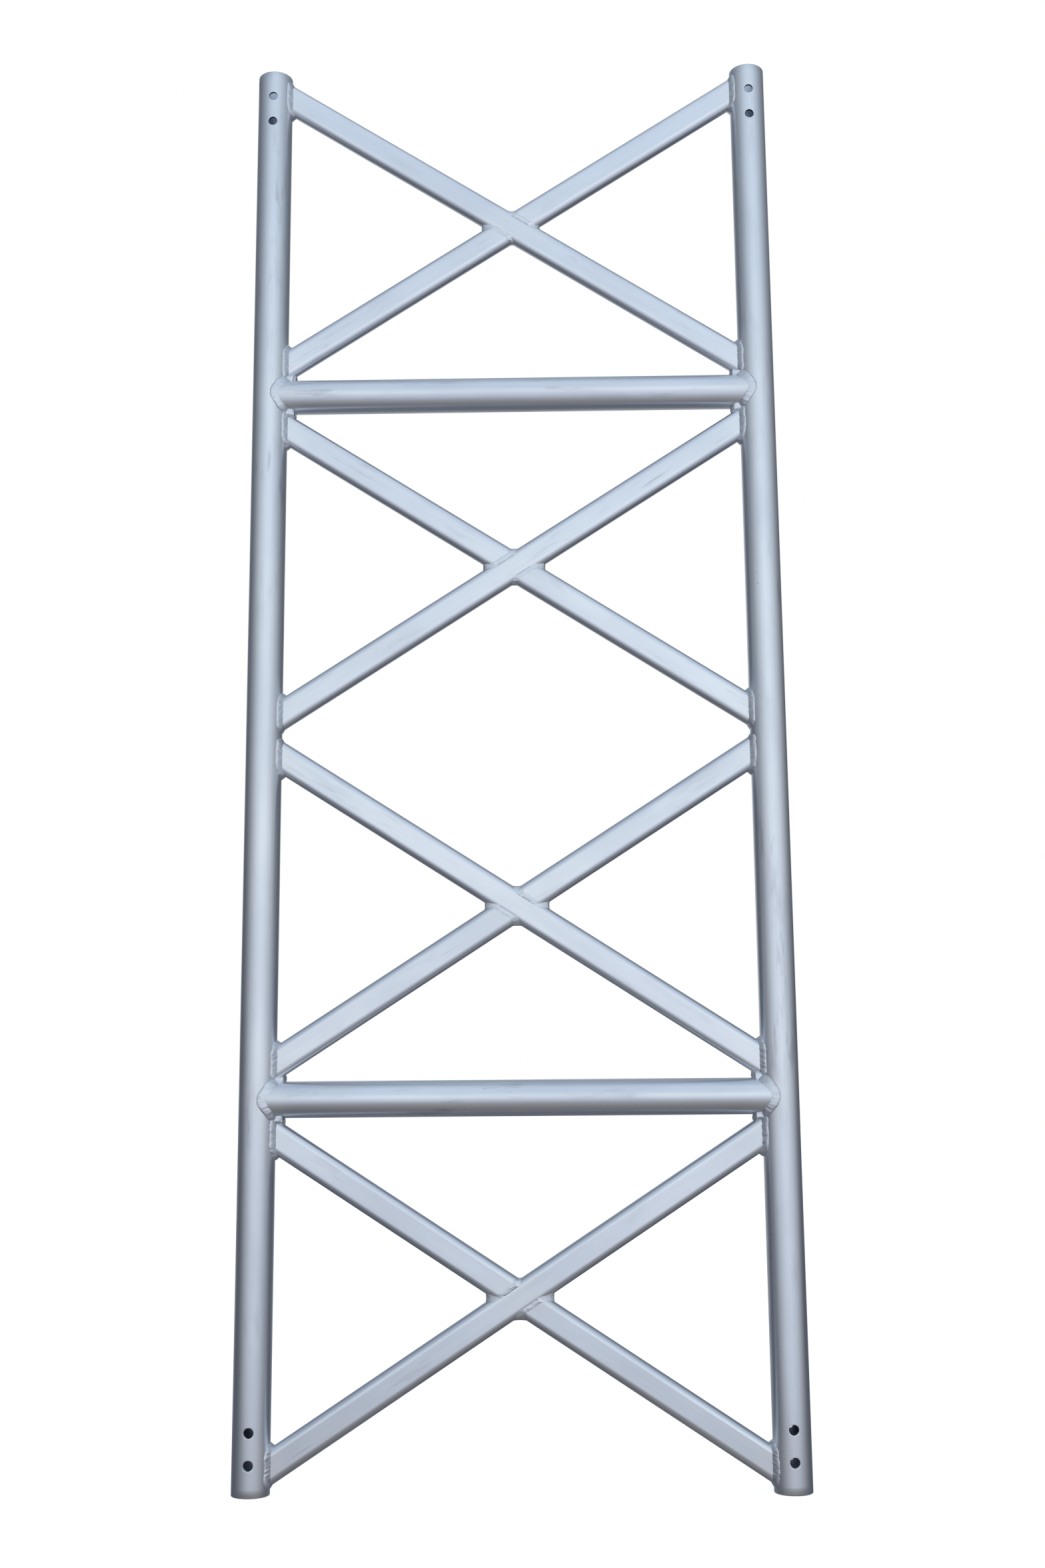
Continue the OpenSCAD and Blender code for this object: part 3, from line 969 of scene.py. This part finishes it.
# Colours of the surroundings by height, from -1 straight down to 1 straight up: a wide soft light in front,
# a dim room round the sides, and a weaker soft light behind
UNDER = (0.17, 0.17, 0.17)
OVERHEAD = (0.54, 0.62, 0.72)
FRONT_SIDE = (
    (-1.0, UNDER), (-0.5, (0.30, 0.30, 0.31)), (-0.05, (0.84, 0.86, 0.90)), (0.1, (1.00, 1.03, 1.05)),
    (0.3, (0.93, 0.99, 1.04)), (0.47, (0.715, 0.81, 0.91)), (0.7, (0.72, 0.805, 0.91)),
    (0.92, (0.74, 0.81, 0.92)), (1.0, OVERHEAD))
FAR_SIDE = (
    (-1.0, UNDER), (-0.4, (0.08, 0.08, 0.09)), (0.0, (0.075, 0.08, 0.095)), (0.17, (0.10, 0.105, 0.12)),
    (0.5, (0.14, 0.15, 0.17)), (0.8, (0.24, 0.27, 0.31)), (0.94, (0.34, 0.39, 0.45)), (1.0, OVERHEAD))
BACK_SIDE = (
    (-1.0, UNDER), (-0.35, (0.30, 0.30, 0.31)), (-0.05, (0.60, 0.62, 0.65)), (0.2, (0.70, 0.74, 0.78)),
    (0.45, (0.50, 0.54, 0.60)), (0.8, (0.30, 0.34, 0.39)), (1.0, OVERHEAD))

scene.world = bpy.data.worlds.new("studio")
w = Nodes(scene.world)
direction = w.add("ShaderNodeTexCoord").outputs["Generated"]
height = w.add("ShaderNodeSeparateXYZ", in_Vector=direction).outputs["Z"]
level = w.vector("NORMALIZE", w.vector("MULTIPLY", direction, (1.0, 1.0, 0.0)))
toward = w.vector("DOT_PRODUCT", level, FRONT)
facing = w.math("POWER", w.ramp(toward, -1.0, 1.0, kind="LINEAR"), 2.3)
light = w.mix(facing, w.colors(height, FAR_SIDE), w.colors(height, FRONT_SIDE))
light = w.mix(w.ramp(toward, -0.99, -0.80, 1.0, 0.0), light, w.colors(height, BACK_SIDE))
# The camera sees plain white
sky = w.mix(w.add("ShaderNodeLightPath").outputs["Is Camera Ray"], light, WHITE)
w.surface(w.add("ShaderNodeBackground", in_Color=sky, in_Strength=1.0).outputs[0], "ShaderNodeOutputWorld")

camera_data = bpy.data.cameras.new("camera")
camera_data.lens = 40.85
camera_data.sensor_width = 36.0
camera_data.clip_end = 200.0
camera = bpy.data.objects.new("camera", camera_data)
camera.location = (0.0417, -2.4171, 0.4856)
camera.rotation_euler = (math.radians(100.39), math.radians(0.471), math.radians(0.863))
scene.collection.objects.link(camera)
scene.camera = camera
scene.view_settings.view_transform = "Standard"
